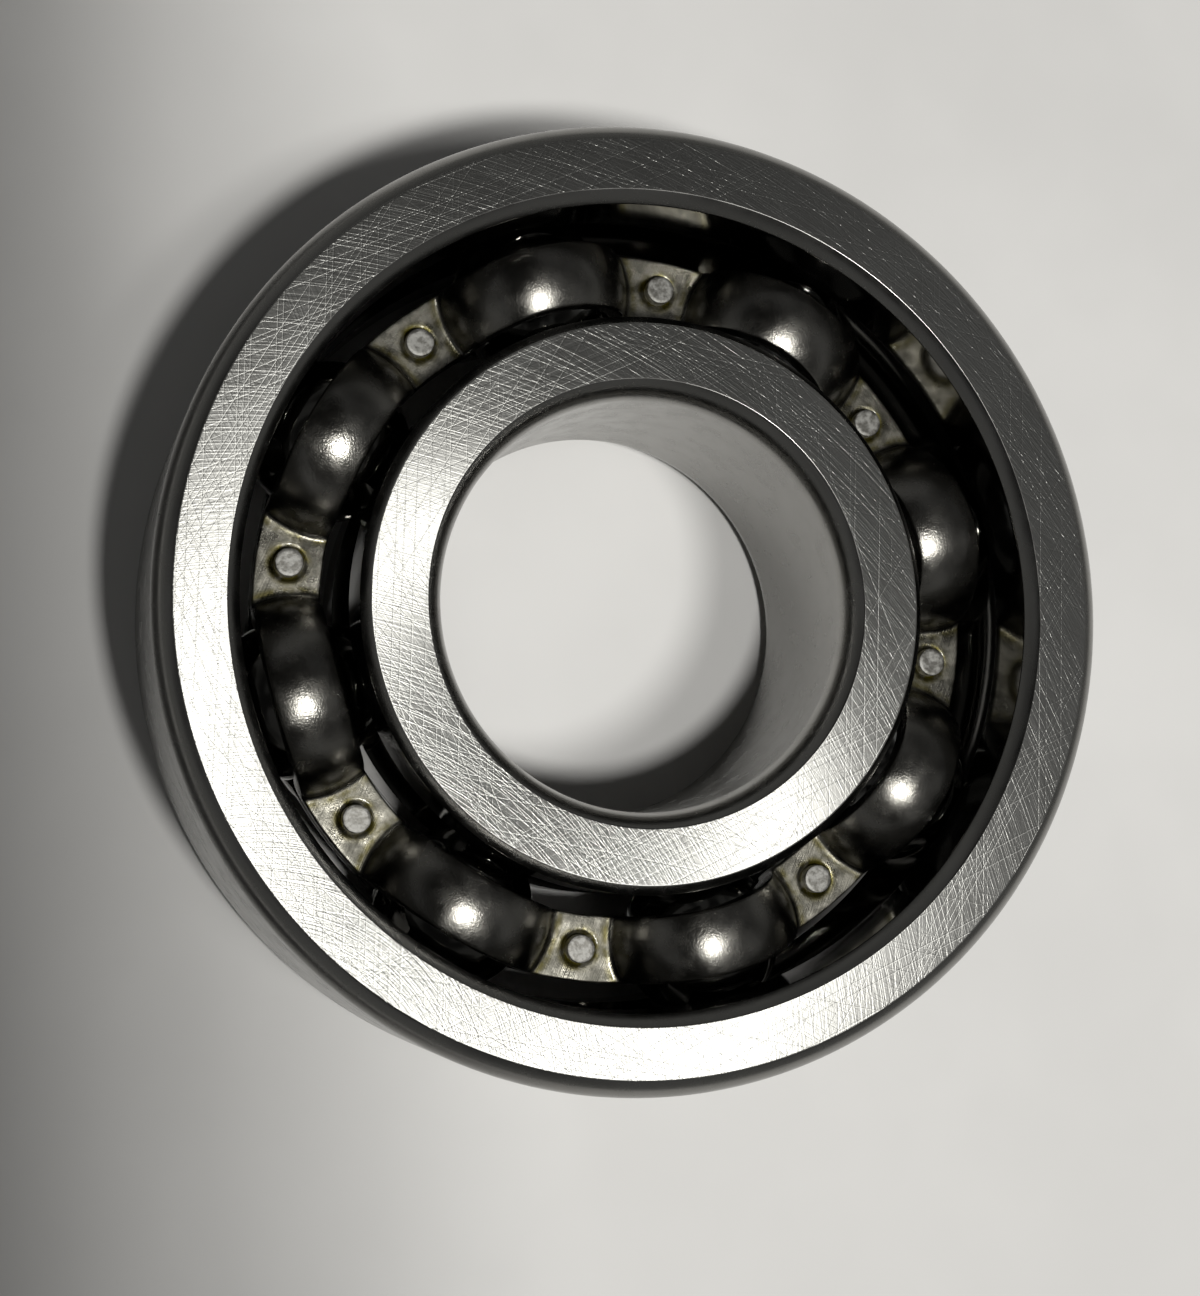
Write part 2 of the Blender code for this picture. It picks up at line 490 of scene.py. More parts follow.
@dataclass(frozen=True)
class PressedCageSteel:
    """Cold rolled strip, pressed to shape and oily.

    The drawn pockets are smooth and nearly black, with a small white light and a grainy glow round it. The
    flattened lands are a paler satin, with yellowed oil round each rivet and along the bends.
    """

    name: str = "pressed_cage_steel"
    stain: float = 1.1
    worn_patch: float = 0.7
    pressed_grain: float = 0.085  # mm, coarser than the real grain so that it shows
    oil_patch: float = 0.6
    relief_depth: float = 0.012

    def material(self) -> bpy.types.Material:
        """Two degrees of gloss by the land attribute, oil by the oil attribute, and a pressed grain.

        Returns:
            The material.
        """
        paint = SurfacePaint(self.name, 0.24, "#8C8A82")
        land = add_node(paint.tree, "ShaderNodeAttribute", attribute_name="land").outputs["Fac"]
        oil = add_node(paint.tree, "ShaderNodeAttribute", attribute_name="oil").outputs["Fac"]
        shade = paint.grain(self.stain, 4.0)
        pocket = paint.ramp(shade, 0.35, 0.68, 0.18, 0.29)
        flat = paint.ramp(shade, 0.36, 0.62, 0.27, 0.50)
        rough = paint.sums(
            "ADD",
            paint.sums("MULTIPLY", flat, land),
            paint.sums("MULTIPLY", pocket, paint.sums("SUBTRACT", 1.0, land)),
        )
        rolled = paint.noise(paint.turned(0.9, 1.6, 0.05, 0.004), 1.0)
        height = paint.sums("ADD", paint.grain(self.pressed_grain, 3.0), paint.sums("MULTIPLY", rolled, land))
        patch = paint.ramp(paint.grain(self.worn_patch, 4.0), 0.40, 0.62, 0.0, 1.0)
        worn = paint.mixed(paint.sums("MULTIPLY", patch, land), "#77756C", "#A5A297")
        bare = paint.mixed(land, "#8E8C86", worn)
        spots = paint.ramp(paint.grain(self.oil_patch, 3.0), 0.30, 0.62, 0.15, 1.0)
        film = paint.sums("MULTIPLY", oil, spots)
        paint.shader.inputs["Coat Weight"].default_value = 0.35
        paint.shader.inputs["Coat Roughness"].default_value = 0.10
        return paint.finish(
            Base_Color=paint.mixed(film, bare, "#5A5318"),
            Roughness=rough,
            Normal=paint.relief(height, self.relief_depth),
        )


@dataclass(frozen=True)
class ClenchedRivetSteel:
    """Soft steel wire squeezed to a flat head, a matte pale grey with the marks of the punch."""

    name: str = "clenched_rivet_steel"

    def material(self) -> bpy.types.Material:
        """A mottled matte metal with a fine dimpled relief.

        Returns:
            The material.
        """
        paint = SurfacePaint(self.name, 0.55, "#B4B3AD")
        blotch = paint.grain(0.30, 3.0)
        dimple = paint.grain(0.12, 2.0)
        return paint.finish(
            Base_Color=paint.mixed(paint.ramp(blotch, 0.35, 0.65, 0.0, 1.0), "#8D8B85", "#CFCEC9"),
            Roughness=paint.ramp(blotch, 0.3, 0.7, 0.50, 0.62),
            Normal=paint.relief(dimple, 0.012),
        )


@dataclass(frozen=True)
class LappedBallSteel:
    """Hardened chrome steel lapped to a mirror, dark between its reflections, under a trace of oil."""

    name: str = "lapped_ball_steel"

    def material(self) -> bpy.types.Material:
        """A mirror whose gloss is broken a little by oil.

        Returns:
            The material.
        """
        paint = SurfacePaint(self.name, 0.06, "#B4B4B2")
        oil = paint.grain(1.6, 3.0)
        return paint.finish(
            Roughness=paint.ramp(oil, 0.35, 0.7, 0.035, 0.11),
            Normal=paint.relief(paint.grain(0.12, 1.0), 0.00012),
        )


@dataclass(frozen=True)
class TablePaper:
    """A matte, nearly white table top with faint clouds of grey."""

    name: str = "matte_table"

    def material(self) -> bpy.types.Material:
        """A soft white that changes by a few percent over some centimetres.

        Returns:
            The material.
        """
        paint = SurfacePaint(self.name, 0.75, "#DEDDDA")
        paint.shader.inputs["Metallic"].default_value = 0.0
        paint.shader.inputs["Specular IOR Level"].default_value = 0.25
        cloud = paint.ramp(paint.grain(26.0, 4.0), 0.3, 0.7, 0.0, 1.0)
        return paint.finish(Base_Color=paint.mixed(cloud, "#DDDCDA", "#E5E4E2"))


@dataclass(frozen=True)
class FlagCard:
    """Black card, which is there for the light that it takes away."""

    name: str = "black_card"

    def material(self) -> bpy.types.Material:
        """A matte black with the faint cloud of paper.

        Returns:
            The material.
        """
        paint = SurfacePaint(self.name, 0.9, "#151515")
        paint.shader.inputs["Metallic"].default_value = 0.0
        return paint.finish(Base_Color=paint.mixed(paint.grain(5.0, 2.0), "#121212", "#181818"))


# ---------------------------------------------------------------------------------------------- surfaces


@dataclass
class Surface:
    """A run of four-sided faces over points in millimetres, each face with the number of its finish."""

    points: np.ndarray
    quads: np.ndarray
    finish: np.ndarray
    values: dict[str, np.ndarray] = field(default_factory=dict)

    def mesh(self, name: str) -> bpy.types.Mesh:
        """The surface as a mesh in metres, with its poles closed and its per-point values as attributes.

        Args:
            name: The mesh's name.

        Returns:
            The mesh.
        """
        mesh = bpy.data.meshes.new(name)
        mesh.vertices.add(len(self.points))
        mesh.vertices.foreach_set("co", (self.points * MM).astype(np.float32).ravel())
        mesh.loops.add(self.quads.size)
        mesh.loops.foreach_set("vertex_index", self.quads.astype(np.int32).ravel())
        mesh.polygons.add(len(self.quads))
        mesh.polygons.foreach_set("loop_start", np.arange(0, self.quads.size, 4, dtype=np.int32))
        mesh.polygons.foreach_set("material_index", self.finish.astype(np.int32))
        mesh.update(calc_edges=True)
        for title, numbers in self.values.items():
            attribute = mesh.attributes.new(title, "FLOAT", "POINT")
            attribute.data.foreach_set("value", numbers.astype(np.float32).ravel())
        shape = bmesh.new()
        shape.from_mesh(mesh)
        bmesh.ops.remove_doubles(shape, verts=shape.verts, dist=MERGE * MM)
        shape.to_mesh(mesh)
        shape.free()
        mesh.shade_smooth()
        return mesh


def grid_quads(rows: int, columns: int, closed_rows: bool) -> np.ndarray:
    """Faces over a grid of points whose columns close on themselves.

    Args:
        rows: How many points down the grid.
        columns: How many points across it.
        closed_rows: Whether the last row joins the first.

    Returns:
        The four point numbers of each face. Face order follows the rows, then the columns.
    """
    index = np.arange(rows * columns).reshape(rows, columns)
    below = np.roll(index, -1, axis=0)
    if not closed_rows:
        index, below = index[:-1], below[:-1]
    beside, below_beside = np.roll(index, -1, axis=1), np.roll(below, -1, axis=1)
    return np.stack([index, below, below_beside, beside], axis=-1).reshape(-1, 4)


def flat_sheet(points: np.ndarray) -> Surface:
    """An open grid of squares, by joining each point to its neighbours along and across.

    Args:
        points: The places of the grid points, along by across by three.

    Returns:
        The surface, with its face up if across turns left from along.
    """
    index = np.arange(points.shape[0] * points.shape[1]).reshape(points.shape[:2])
    quads = np.stack([index[:-1, :-1], index[1:, :-1], index[1:, 1:], index[:-1, 1:]], axis=-1).reshape(-1, 4)
    return Surface(points.reshape(-1, 3), quads, np.zeros(len(quads)))


@dataclass(frozen=True)
class Line:
    """A straight stretch of a section from one (radius, height) to another."""

    zone: Zone
    start: tuple[float, float]
    end: tuple[float, float]
    steps: int = 6

    @property
    def length(self) -> float:
        """How long the stretch is."""
        return math.dist(self.start, self.end)

    def at(self, shares: np.ndarray) -> np.ndarray:
        """The points at shares of the way from start to end."""
        return np.outer(1 - shares, self.start) + np.outer(shares, self.end)


@dataclass(frozen=True)
class Arc:
    """A round stretch of a section about a (radius, height) centre, between two turns in radians."""

    zone: Zone
    centre: tuple[float, float]
    radius: float
    start_turn: float
    end_turn: float
    steps: int = 8

    @property
    def length(self) -> float:
        """How long the stretch is."""
        return abs(self.end_turn - self.start_turn) * self.radius

    def at(self, shares: np.ndarray) -> np.ndarray:
        """The points at shares of the way along the arc."""
        turns = self.start_turn + (self.end_turn - self.start_turn) * shares
        return np.array(self.centre) + self.radius * np.stack([np.cos(turns), np.sin(turns)], axis=1)


Run = Union[Line, Arc]


@dataclass(frozen=True)
class TurnedProfile:
    """A half section made of runs, with every sharp edge between two runs broken to a small round.

    The runs go clockwise about the material, seen with the axis at the left, so that faces look out.
    """

    runs: tuple[Run, ...]
    edge: float = 0.03
    closed: bool = True
    edge_steps: int = 3
    sharp_turn: float = math.radians(12)

    def outline(self) -> tuple[np.ndarray, np.ndarray]:
        """Walks the runs and rounds the edges between them.

        A run is cut short by the edge size at a sharp end, and a quadratic curve with the sharp corner as its
        middle point leads on to the next run. A second point close to each end keeps the flats flat.

        Returns:
            The (radius, height) points, and the zone of the stretch that starts at each point.
        """
        points: list[np.ndarray] = []
        zones: list[np.ndarray] = []
        count = len(self.runs)
        for number, run in enumerate(self.runs):
            before, after = self.runs[number - 1], self.runs[(number + 1) % count]
            first = self.cut(before, run) if self.closed or number else 0.0
            last = self.cut(run, after) if self.closed or number < count - 1 else 0.0
            low, high = first / run.length, 1 - last / run.length
            near = min(self.edge / run.length, (high - low) / 4)
            shares = np.concatenate([[low], np.linspace(low + near, high - near, run.steps), [high]])
            here = run.at(shares)
            points.append(here)
            zones.append(np.full(len(here), run.zone))
            if last:
                corner = run.at(np.array([1.0]))
                onward = after.at(np.array([self.cut(run, after) / after.length]))
                way = np.linspace(0, 1, self.edge_steps + 1)[1:-1, None]
                points.append((1 - way) ** 2 * here[-1] + 2 * way * (1 - way) * corner + way**2 * onward)
                zones.append(np.full(self.edge_steps - 1, run.zone))
        outline = np.concatenate(points)
        zone = np.concatenate(zones)
        keep = np.linalg.norm(outline - np.roll(outline, 1, axis=0), axis=1) > MERGE
        if not self.closed:
            keep[0] = True
        return outline[keep], zone[keep]

    def cut(self, run: Run, after: Run) -> float:
        """How much two runs are cut short where they meet.

        Args:
            run: The run that ends there.
            after: The run that starts there.

        Returns:
            The edge size, or nothing if one run leads smoothly into the other.
        """
        ends = run.at(np.array([0.98, 1.0]))
        starts = after.at(np.array([0.0, 0.02]))
        leaving, arriving = ends[1] - ends[0], starts[1] - starts[0]
        cosine = leaving @ arriving / (np.linalg.norm(leaving) * np.linalg.norm(arriving))
        return self.edge if cosine < math.cos(self.sharp_turn) else 0.0

    def surface(self, steps: int) -> Surface:
        """The outline turned once about Z: (radius cos a, radius sin a, height) for a over a full turn.

        Args:
            steps: How many points make one turn.

        Returns:
            The turned surface, each face with the zone of its stretch.
        """
        outline, zone = self.outline()
        turn = np.arange(steps) * FULL_TURN / steps
        rim = np.stack([np.cos(turn), np.sin(turn), np.zeros(steps)], axis=1)
        points = outline[:, None, :1] * rim + outline[:, None, 1:] * np.array([0.0, 0.0, 1.0])
        quads = grid_quads(len(outline), steps, self.closed)
        rows = len(outline) if self.closed else len(outline) - 1
        return Surface(points.reshape(-1, 3), quads, np.repeat(zone[:rows], steps))


def corner_round(wall_r: float, radial: float, axial: float, face_z: float, outward: int) -> Arc:
    """A turned corner that leaves the wall tangentially and is cut off by the ground face.

    A round of radius (radial^2 + axial^2) / (2 radial) touches the wall, and the face is ground through it.

    Args:
        wall_r: The radius of the wall that the corner leaves.
        radial: How far in from the wall the corner meets the face.
        axial: How far below the face the corner meets the wall.
        face_z: The height of the face.
        outward: 1 for a wall that looks away from the axis, and -1 for one that looks towards it.

    Returns:
        The arc, from the face down to an outward wall, or from an inward wall up to the face.
    """
    radius = (radial**2 + axial**2) / (2 * radial)
    centre = (wall_r - outward * radius, face_z - axial)
    face_turn = math.asin(axial / radius)
    if outward > 0:
        return Arc(Zone.CORNER, centre, radius, face_turn, 0.0)
    return Arc(Zone.CORNER, centre, radius, math.pi, math.pi - face_turn)


def eased_chamfer(zone: Zone, start: tuple[float, float], end: tuple[float, float], radius: float) -> Arc:
    """A broken edge that bulges a little, an arc over the straight chamfer from start to end.

    Args:
        zone: The finish of the chamfer.
        start: Where it begins, with the material on the right of the way to the end.
        end: Where it ends.
        radius: The arc's radius in millimetres, more than half the chamfer's length.

    Returns:
        The arc, whose centre is on the material's side.
    """
    chord = np.subtract(end, start)
    half = float(np.hypot(*chord)) / 2
    inward = np.array([chord[1], -chord[0]]) / (2 * half)
    centre = np.add(start, end) / 2 + inward * math.sqrt(radius**2 - half**2)
    first, last = (math.atan2(*(np.array(place) - centre)[::-1]) for place in (start, end))
    first += FULL_TURN if first - last < -math.pi else 0.0
    last += FULL_TURN if last - first < -math.pi else 0.0
    return Arc(zone, (float(centre[0]), float(centre[1])), radius, first, last)


def below(run: Run) -> Run:
    """The same run under the middle of the bearing, walked the other way.

    Args:
        run: A run above the middle.

    Returns:
        Its mirror image.
    """
    if isinstance(run, Line):
        return Line(run.zone, (run.end[0], -run.end[1]), (run.start[0], -run.start[1]), run.steps)
    centre = (run.centre[0], -run.centre[1])
    return Arc(run.zone, centre, run.radius, -run.end_turn, -run.start_turn, run.steps)


def new_piece(
    name: str, mesh: bpy.types.Mesh, finishes: list[bpy.types.Material], body: str
) -> bpy.types.Object:
    """Puts a finished mesh in the scene in place of the CAD node of the same name.

    Args:
        name: The CAD node's name. The piece has the same name with _finish after it.
        mesh: The mesh, in place and in metres.
        finishes: The materials in the order of the mesh's numbers.
        body: The body that the piece moves with.

    Returns:
        The new object.
    """
    for finish in finishes:
        mesh.materials.append(finish)
    piece = bpy.data.objects.new(f"{name}_finish", mesh)
    bpy.context.scene.collection.objects.link(piece)
    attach(piece, body)
    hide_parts(name)
    LOG.info("%s: %d faces on %s", piece.name, len(mesh.polygons), body)
    return piece


# ------------------------------------------------------------------------------------------------- parts


@dataclass(frozen=True)
class BearingSizes:
    """The driving sizes of the bearing in millimetres."""

    outside_r: float
    face_z: float
    inner_shoulder_r: float
    pitch_r: float
    ball_r: float
    ball_count: int
    cage_outer_r: float
    pocket_crown_z: float
    seam_z: float
    rivet_top_z: float
    rivet_head_r: float

    @classmethod
    def of_frame(cls, frame: dict) -> BearingSizes:
        """Reads the sizes from the boxes of the frame's nodes.


        Returns:
            The sizes in millimetres.
        """
        ring_low, ring_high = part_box("outer_ring")
        ball_low, ball_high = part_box("ball_1")
        cage_low, cage_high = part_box("cage_front")
        rivet_low, rivet_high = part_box("rivet_1")
        return cls(
            outside_r=ring_high.x / MM,
            face_z=ring_high.z / MM,
            inner_shoulder_r=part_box("inner_ring")[1].x / MM,
            pitch_r=(ball_low.x + ball_high.x) / 2 / MM,
            ball_r=(ball_high.z - ball_low.z) / 2 / MM,
            ball_count=sum(name.startswith("ball_") for name in frame["nodes"]),
            cage_outer_r=cage_high.x / MM,
            pocket_crown_z=cage_high.z / MM,
            seam_z=cage_low.z / MM,
            rivet_top_z=rivet_high.z / MM,
            rivet_head_r=0.70,
        )


@dataclass(frozen=True)
class RingFinishes:
    """The four finishes that both rings share, in the order of Zone."""

    face: GroundFaceSteel = GroundFaceSteel()
    corner: TurnedSteel = TurnedSteel("turned_corner_steel", "#8A8986", 0.24, 0.07, 0.0004)
    wall: TurnedSteel = TurnedSteel("ground_wall_steel", "#858481", 0.24, 0.05, 0.0004)
    raceway: TurnedSteel = TurnedSteel("honed_raceway_steel", "#6E6D6A", 0.10, 0.05, 0.0001)

    def materials(self) -> list[bpy.types.Material]:
        """The four materials."""
        return [part.material() for part in (self.face, self.corner, self.wall, self.raceway)]


@dataclass(frozen=True)
class OuterRing:
    """The ring that stands still: a ground outside, two ground faces, and a groove for the balls inside."""

    sizes: BearingSizes
    shoulder_r: float = 19.50
    outside_corner: tuple[float, float] = (0.93, 1.40)
    shoulder_corner: tuple[float, float] = (0.60, 0.60)
    groove_share: float = 0.515
    running_gap: float = 0.10
    steps: int = 288

    def profile(self) -> TurnedProfile:
        """The section: out along the top face, down the outside, in along the bottom and up the groove.

        Returns:
            The closed section.
        """
        size = self.sizes
        top = size.face_z
        rim = corner_round(size.outside_r, *self.outside_corner, top, 1)
        radius = self.groove_share * 2 * size.ball_r
        centre_r = size.pitch_r + size.ball_r + self.running_gap - radius
        edge_turn = math.acos((self.shoulder_r - centre_r) / radius)
        groove_z = radius * math.sin(edge_turn)
        mouth_z = top - self.shoulder_corner[1]
        face_in, face_out = self.shoulder_r + self.shoulder_corner[0], size.outside_r - self.outside_corner[0]
        mouth = eased_chamfer(Zone.CORNER, (self.shoulder_r, mouth_z), (face_in, top), 3.0)
        rim_z = top - self.outside_corner[1]
        face = Line(Zone.FACE, (face_in, top), (face_out, top), 8)
        land = Line(Zone.RACEWAY, (self.shoulder_r, groove_z), (self.shoulder_r, mouth_z), 8)
        return TurnedProfile(
            (
                face,
                rim,
                Line(Zone.WALL, (size.outside_r, rim_z), (size.outside_r, -rim_z), 10),
                below(rim),
                below(face),
                below(mouth),
                below(land),
                Arc(Zone.RACEWAY, (centre_r, 0.0), radius, -edge_turn, edge_turn, 28),
                land,
                mouth,
            )
        )

    def build(self, finishes: list[bpy.types.Material]) -> bpy.types.Object:
        """Turns the ring and puts it in place of the CAD's outer ring."""
        mesh = self.profile().surface(self.steps).mesh("outer_ring")
        return new_piece("outer_ring", mesh, finishes, "outer_ring")


@dataclass(frozen=True)
class InnerRing:
    """The ring that turns with the shaft: a ground bore, two ground faces, and a groove round its outside."""

    sizes: BearingSizes
    bore_r: float = 10.0
    bore_corner: tuple[float, float] = (0.80, 1.60)
    shoulder_corner: tuple[float, float] = (0.45, 0.60)
    groove_share: float = 0.515
    running_gap: float = 0.10
    steps: int = 240

    def profile(self) -> TurnedProfile:
        """The section: out along the top face, down over the groove, in along the bottom and up the bore.

        Returns:
            The closed section.
        """
        size = self.sizes
        top, shoulder_r = size.face_z, size.inner_shoulder_r
        mouth = corner_round(self.bore_r, *self.bore_corner, top, -1)
        radius = self.groove_share * 2 * size.ball_r
        centre_r = size.pitch_r - size.ball_r - self.running_gap + radius
        edge_turn = math.acos((centre_r - shoulder_r) / radius)
        groove_z = radius * math.sin(edge_turn)
        rim_z = top - self.shoulder_corner[1]
        bore_z = top - self.bore_corner[1]
        face_in, face_out = self.bore_r + self.bore_corner[0], shoulder_r - self.shoulder_corner[0]
        face = Line(Zone.FACE, (face_in, top), (face_out, top), 8)
        rim = eased_chamfer(Zone.CORNER, (face_out, top), (shoulder_r, rim_z), 3.0)
        land = Line(Zone.RACEWAY, (shoulder_r, rim_z), (shoulder_r, groove_z), 6)
        return TurnedProfile(
            (
                face,
                rim,
                land,
                Arc(Zone.RACEWAY, (centre_r, 0.0), radius, math.pi - edge_turn, math.pi + edge_turn, 28),
                below(land),
                below(rim),
                below(face),
                below(mouth),
                Line(Zone.WALL, (self.bore_r, -bore_z), (self.bore_r, bore_z), 10),
                mouth,
            )
        )

    def build(self, finishes: list[bpy.types.Material]) -> bpy.types.Object:
        """Turns the ring and puts it in place of the CAD's inner ring."""
        mesh = self.profile().surface(self.steps).mesh("inner_ring")
        return new_piece("inner_ring", mesh, finishes, "inner_ring")


@dataclass(frozen=True)
class Ball:
    """One ball of the set, numbered from the X axis."""

    sizes: BearingSizes
    number: int
    steps: int = 96
    rings: int = 48

    def build(self, finish: bpy.types.Material) -> bpy.types.Object:
        """Makes the ball in place: a half circle turned about an upright axis through its centre.

        Args:
            finish: The ball's material.

        Returns:
            The new object, which moves with the ball's own body.
        """
        radius = self.sizes.ball_r
        half_circle = Arc(Zone.FACE, (0.0, 0.0), radius, math.pi / 2, -math.pi / 2, self.rings)
        surface = TurnedProfile((half_circle,), closed=False).surface(self.steps)
        turn = (self.number - 1) * FULL_TURN / self.sizes.ball_count
        surface.points += self.sizes.pitch_r * np.array([math.cos(turn), math.sin(turn), 0.0])
        name = f"ball_{self.number}"
        return new_piece(name, surface.mesh(name), [finish], name)


@dataclass(frozen=True)
class Rivet:
    """One rivet through both halves of the cage, numbered from the first land after the X axis."""

    sizes: BearingSizes
    number: int
    seat_z: float = 0.745
    shank_r: float = 0.50
    dish: float = 0.008
    steps: int = 48

    def build(self, finish: bpy.types.Material) -> bpy.types.Object:
        """Makes the rivet in place: a shank with a flat, slightly dished head at each end.

        Args:
            finish: The rivet's material.

        Returns:
            The new object, which moves with the cage.
        """
        size = self.sizes
        top, head_r = size.rivet_top_z, size.rivet_head_r
        lip = 0.80 * head_r
        head = (
            Line(Zone.FACE, (0.0, top - self.dish), (lip, top), 5),
            Line(Zone.FACE, (lip, top), (head_r, top - 0.03), 2),
            Line(Zone.FACE, (head_r, top - 0.03), (head_r, self.seat_z), 4),
            Line(Zone.FACE, (head_r, self.seat_z), (self.shank_r, self.seat_z), 2),
        )
        shank = Line(Zone.FACE, (self.shank_r, self.seat_z), (self.shank_r, -self.seat_z), 4)
        runs = (*head, shank, *(below(run) for run in reversed(head)))
        surface = TurnedProfile(runs, edge=0.045, closed=False).surface(self.steps)
        turn = (self.number - 0.5) * FULL_TURN / size.ball_count
        surface.points += size.pitch_r * np.array([math.cos(turn), math.sin(turn), 0.0])
        name = f"rivet_{self.number}"
        return new_piece(name, surface.mesh(name), [finish], "cage")


@dataclass(frozen=True)
class CageHalf:
    """One pressed half of the ribbon cage, on one side of the middle.

    Seen from a ball, the strip is the same all round: a ball-centred dome that bends out, through a fillet,
    into the flat land. The strip is that shape between two cylinders about the bearing's axis.
    """

    sizes: BearingSizes
    side: Side
    sheet: float = 0.80
    inner_r: float = 15.05
    fillet: float = 0.38
    sheared_edge: float = 0.10
    coin_r: float = 0.95
    coin_depth: float = 0.11
    hole_r: float = 0.55
    land_steps: int = 15
    fillet_steps: int = 6
    dome_steps: int = 16
    width_steps: int = 30

    @property
    def land_z(self) -> float:
        """The height of the land's outer side."""
        return self.sizes.seam_z + self.sheet

    def strip_section(self) -> tuple[np.ndarray, np.ndarray]:
        """The strip's own section, a rectangle with rounded corners, walked once round.

        Returns:
            The distance from the bearing's axis, and the depth below the outer side, of each point.
        """
        edge = self.sheared_edge
        low, high, below_top = self.inner_r, self.sizes.cage_outer_r, self.sheet - edge
        bend = np.linspace(0, math.pi / 2, 4)
        sine, cosine = edge * np.sin(bend), edge * np.cos(bend)
        front = np.linspace(low + edge, high - edge, self.width_steps)
        back = front[::-2][1:-1]
        radii = [front, high - edge + sine[1:], high - edge + cosine, back]
        depths = [np.zeros(len(front)), edge - cosine[1:], below_top + sine, np.full(len(back), self.sheet)]
        radii += [low + edge - sine, low + edge - cosine[:-1]]
        depths += [below_top + cosine, edge - sine[:-1]]
        return np.concatenate(radii), np.concatenate(depths)

    def half_pocket(self, radii: np.ndarray, depths: np.ndarray) -> tuple[np.ndarray, np.ndarray, np.ndarray]:
        """The strip from the middle of a land to the crown of the next pocket.

        In the plane through the ball's upright axis, the outer side is a circle of the crown's height about
        the ball's centre, then a fillet, then the flat. The depth moves the circle and the fillet alike. A
        point at distance d from the ball's axis and r from the bearing's stands at the angle whose cosine is
        (r^2 + pitch^2 - d^2) / (2 r pitch).

        Args:
            radii: The section's distances from the bearing's axis.
            depths: The section's depths below the outer side.

        Returns:
            The angle from the pocket's middle, the height, and the distance from the ball's axis, each with a
            row for each step along the strip.
        """
        pitch, dome_r, land_z = self.sizes.pitch_r, self.sizes.pocket_crown_z, self.land_z
        tangent = math.asin((land_z + self.fillet) / (dome_r + self.fillet))
        bend_d = (dome_r + self.fillet) * math.cos(tangent)
        ball_side = np.minimum(np.abs(radii - pitch) / (dome_r - depths), 1.0)
        crown = np.arccos(ball_side)
        share = np.linspace(0, 1, self.dome_steps + 1)[:, None]
        turn = tangent + (crown - tangent) * share
        dome_d, dome_z = (dome_r - depths) * np.cos(turn), (dome_r - depths) * np.sin(turn)
        bend = np.linspace(1.5 * math.pi, math.pi + tangent, self.fillet_steps + 1)[:-1, None]
        fillet_d = bend_d + (self.fillet + depths) * np.cos(bend)
        fillet_z = land_z + self.fillet + (self.fillet + depths) * np.sin(bend)
        bent_d, bent_z = np.concatenate([fillet_d, dome_d]), np.concatenate([fillet_z, dome_z])
        cosine = (radii**2 + pitch**2 - bent_d**2) / (2 * radii * pitch)
        bent_angle = np.arccos(np.clip(cosine, -1.0, 1.0))
        middle = math.pi / self.sizes.ball_count
        way = np.linspace(0, 1, self.land_steps + 1)[:-1, None]
        land_angle = middle + (bent_angle[0] - middle) * way
        land_height = np.broadcast_to(land_z - depths, land_angle.shape)
        land_d = np.sqrt(radii**2 + pitch**2 - 2 * radii * pitch * np.cos(land_angle))
        angle = np.concatenate([land_angle, bent_angle])
        return angle, np.concatenate([land_height, bent_z]), np.concatenate([land_d, bent_d])

    def surface(self) -> Surface:
        """The whole half: each half pocket and its mirror image, repeated for every ball.

        Round each rivet the outer side is coined down by a smooth step. The land value is 1 on the flats, and
        the oil value is high round the rivets and just before the bends.

        Returns:
            The closed surface with its land and oil values.
        """
        radii, depths = self.strip_section()
        angle, height, ball_d = self.half_pocket(radii, depths)
        rows = np.concatenate([-angle, angle[-2:0:-1]])
        tall = np.concatenate([height, height[-2:0:-1]])
        near = np.concatenate([ball_d, ball_d[-2:0:-1]])
        spacing = FULL_TURN / self.sizes.ball_count
        starts = np.arange(self.sizes.ball_count) * spacing
        turn = (starts[:, None, None] + rows).reshape(-1, len(radii))
        tall = np.tile(tall, (self.sizes.ball_count, 1))
        near = np.tile(near, (self.sizes.ball_count, 1))
        x, y = radii * np.cos(turn), radii * np.sin(turn)
        place = (np.round(turn / spacing - 0.5) + 0.5) * spacing
        pitch = self.sizes.pitch_r
        rivet_d = np.hypot(x - pitch * np.cos(place), y - pitch * np.sin(place))
        wear = smooth_step(self.coin_r, self.sizes.rivet_head_r + 0.04, rivet_d)
        tall = tall - self.coin_depth * wear * (1 - depths / self.sheet)
        bend_d = math.sqrt((self.sizes.pocket_crown_z + self.fillet) ** 2 - (self.land_z + self.fillet) ** 2)
        land = smooth_step(bend_d - 0.30, bend_d - 0.05, near)
        by_rivet = smooth_step(self.coin_r + 0.35, self.coin_r - 0.12, rivet_d)
        by_bend = smooth_step(bend_d + 0.40, bend_d + 0.05, near) * smooth_step(bend_d - 0.25, bend_d, near)
        points = np.stack([x, y, self.side * tall], axis=-1).reshape(-1, 3)
        quads = grid_quads(len(turn), len(radii), True)[:, :: -self.side]
        values = {"land": land, "oil": np.maximum(by_rivet, 0.75 * by_bend)}
        return Surface(points, quads, np.zeros(len(quads)), values)

